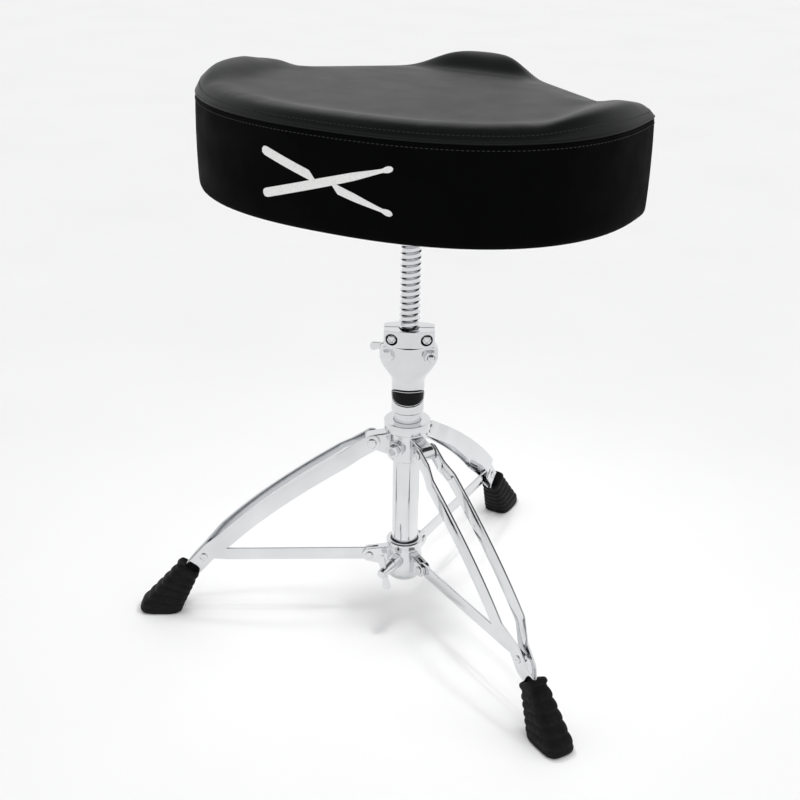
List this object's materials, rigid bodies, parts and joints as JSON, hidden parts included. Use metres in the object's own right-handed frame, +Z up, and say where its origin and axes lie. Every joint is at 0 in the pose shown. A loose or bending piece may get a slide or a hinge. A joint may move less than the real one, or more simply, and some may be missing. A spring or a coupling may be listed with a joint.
{
  "type": "drum throne",
  "caption": "Saddle-shaped padded seat on a threaded height rod, held by a split clamp and memory lock over a double-braced folding tripod with ribbed rubber feet.",
  "frame": {"origin": "middle of the footprint box, on the floor", "axes": "+Z up; the seat nose and one leg point along +Y, so the sitter faces +Y; +X to the right of the sitter"},
  "size_m": [0.5768, 0.5112, 0.661],
  "materials": {
    "chrome": "polished chrome plate",
    "cast_chrome": "chrome plated die casting, slightly softer than the tube",
    "zinc": "zinc plated steel",
    "brass": "machined brass",
    "black_rubber": "matte moulded rubber",
    "black_vinyl": "satin grained vinyl",
    "black_band": "matte black vinyl-backed cloth",
    "black_badge": "gloss black",
    "dust_cloth": "black dust cloth",
    "foam": "open cell foam",
    "plywood": "raw plywood",
    "nylon": "black nylon"
  },
  "bodies": {
    "column": {"centre_tube": "chrome", "tube_end_plug": "nylon", "top_collar": "cast_chrome", "hub_bracket": "cast_chrome", "hub_set_bolt": "chrome", "leg_1_pivot_pin": "chrome", "leg_2_pivot_pin": "chrome", "leg_3_pivot_pin": "chrome", "height_clamp_casting": "cast_chrome", "thread_insert": "brass", "clamp_bolt": "chrome", "hinge_bolt": "chrome", "hinge_nut": "chrome", "badge_plate": "black_badge"},
    "rod_guide": {"rod_guide_bush": "nylon"},
    "seat": {"height_rod": "chrome", "seat_mount_plate": "zinc", "seat_mount_screw_1": "zinc", "seat_mount_screw_2": "zinc", "seat_mount_screw_3": "zinc", "seat_mount_screw_4": "zinc", "seat_lock_bolt": "chrome", "seat_board": "plywood", "seat_foam": "foam", "seat_top_cover": "black_vinyl", "seat_side_band": "black_band", "seat_bottom_cover": "dust_cloth"},
    "memory_lock": {"memory_lock_front": "cast_chrome", "memory_lock_rear": "cast_chrome", "memory_lock_bolt_left": "chrome", "memory_lock_bolt_right": "chrome"},
    "clamp_wing": {"clamp_wing_nut": "cast_chrome"},
    "lower_bracket": {"lower_bracket": "cast_chrome", "lower_bracket_bush": "nylon", "strut_1_pin": "chrome", "strut_2_pin": "chrome", "strut_3_pin": "chrome"},
    "wing_bolt": {"wing_bolt": "cast_chrome"},
    "leg_1": {"leg_1_strip_left": "chrome", "leg_1_strip_right": "chrome", "leg_1_rivet_left": "chrome", "leg_1_rivet_right": "chrome", "leg_1_foot": "black_rubber"},
    "strut_1": {"strut_1": "chrome", "strut_1_bush": "zinc"},
    "leg_2": {"leg_2_strip_left": "chrome", "leg_2_strip_right": "chrome", "leg_2_rivet_left": "chrome", "leg_2_rivet_right": "chrome", "leg_2_foot": "black_rubber"},
    "strut_2": {"strut_2": "chrome", "strut_2_bush": "zinc"},
    "leg_3": {"leg_3_strip_left": "chrome", "leg_3_strip_right": "chrome", "leg_3_rivet_left": "chrome", "leg_3_rivet_right": "chrome", "leg_3_foot": "black_rubber"},
    "strut_3": {"strut_3": "chrome", "strut_3_bush": "zinc"}
  },
  "joints": [
    {"name": "seat_rise", "type": "slide", "parent": "column", "child": "rod_guide", "axis": [0, 0, 1], "range_m": [-0.11, 0.0445]},
    {"name": "seat_turn", "type": "hinge", "parent": "rod_guide", "child": "seat", "pos_m": [0, -0.0721, 0.32], "axis": [0, 0, 1], "range_deg": [-5400, 2160]},
    {"name": "memory_lock_slide", "type": "slide", "parent": "column", "child": "memory_lock", "axis": [0, 0, 1], "range_m": [0, 0.02]},
    {"name": "clamp_wing_turn", "type": "hinge", "parent": "column", "child": "clamp_wing", "pos_m": [-0.02761, -0.07429, 0.347], "axis": [-0.4617, 0.887, 0], "range_deg": [0, 540]},
    {"name": "leg_fold_1", "type": "hinge", "parent": "column", "child": "leg_1", "pos_m": [-0.03585, -0.0928, 0.2356], "axis": [0.5, -0.866, 0], "range_deg": [0, 49]},
    {"name": "leg_fold_2", "type": "hinge", "parent": "column", "child": "leg_2", "pos_m": [0.03585, -0.0928, 0.2356], "axis": [0.5, 0.866, 0], "range_deg": [0, 49]},
    {"name": "leg_fold_3", "type": "hinge", "parent": "column", "child": "leg_3", "pos_m": [0, -0.0307, 0.2356], "axis": [-1, 0, 0], "range_deg": [0, 49]},
    {"name": "bracket_slide", "type": "slide", "parent": "column", "child": "lower_bracket", "axis": [0, 0, 1], "range_m": [0, 0.1009]},
    {"name": "wing_bolt_turn", "type": "hinge", "parent": "lower_bracket", "child": "wing_bolt", "pos_m": [0, -0.1074, 0.08], "axis": [0, -1, 0], "range_deg": [0, 540]},
    {"name": "strut_turn_1", "type": "hinge", "parent": "lower_bracket", "child": "strut_1", "pos_m": [-0.03715, -0.09355, 0.0793], "axis": [0.5, -0.866, 0], "range_deg": [0, 85.8]},
    {"name": "strut_turn_2", "type": "hinge", "parent": "lower_bracket", "child": "strut_2", "pos_m": [0.03715, -0.09355, 0.0793], "axis": [0.5, 0.866, 0], "range_deg": [0, 85.8]},
    {"name": "strut_turn_3", "type": "hinge", "parent": "lower_bracket", "child": "strut_3", "pos_m": [0, -0.0292, 0.0793], "axis": [-1, 0, 0], "range_deg": [0, 85.8]}
  ],
  "couplings": [
    {"joint": "seat_rise", "follows": "seat_turn", "m_per_rad": 0.0011618},
    {"joint": "leg_fold_2", "follows": "leg_fold_1", "ratio": 1},
    {"joint": "leg_fold_3", "follows": "leg_fold_1", "ratio": 1},
    {"joint": "bracket_slide", "follows": "leg_fold_1", "m_per_rad": 0.1179},
    {"joint": "strut_turn_1", "follows": "leg_fold_1", "ratio": 1.7491},
    {"joint": "strut_turn_2", "follows": "leg_fold_1", "ratio": 1.7491},
    {"joint": "strut_turn_3", "follows": "leg_fold_1", "ratio": 1.7491}
  ]
}
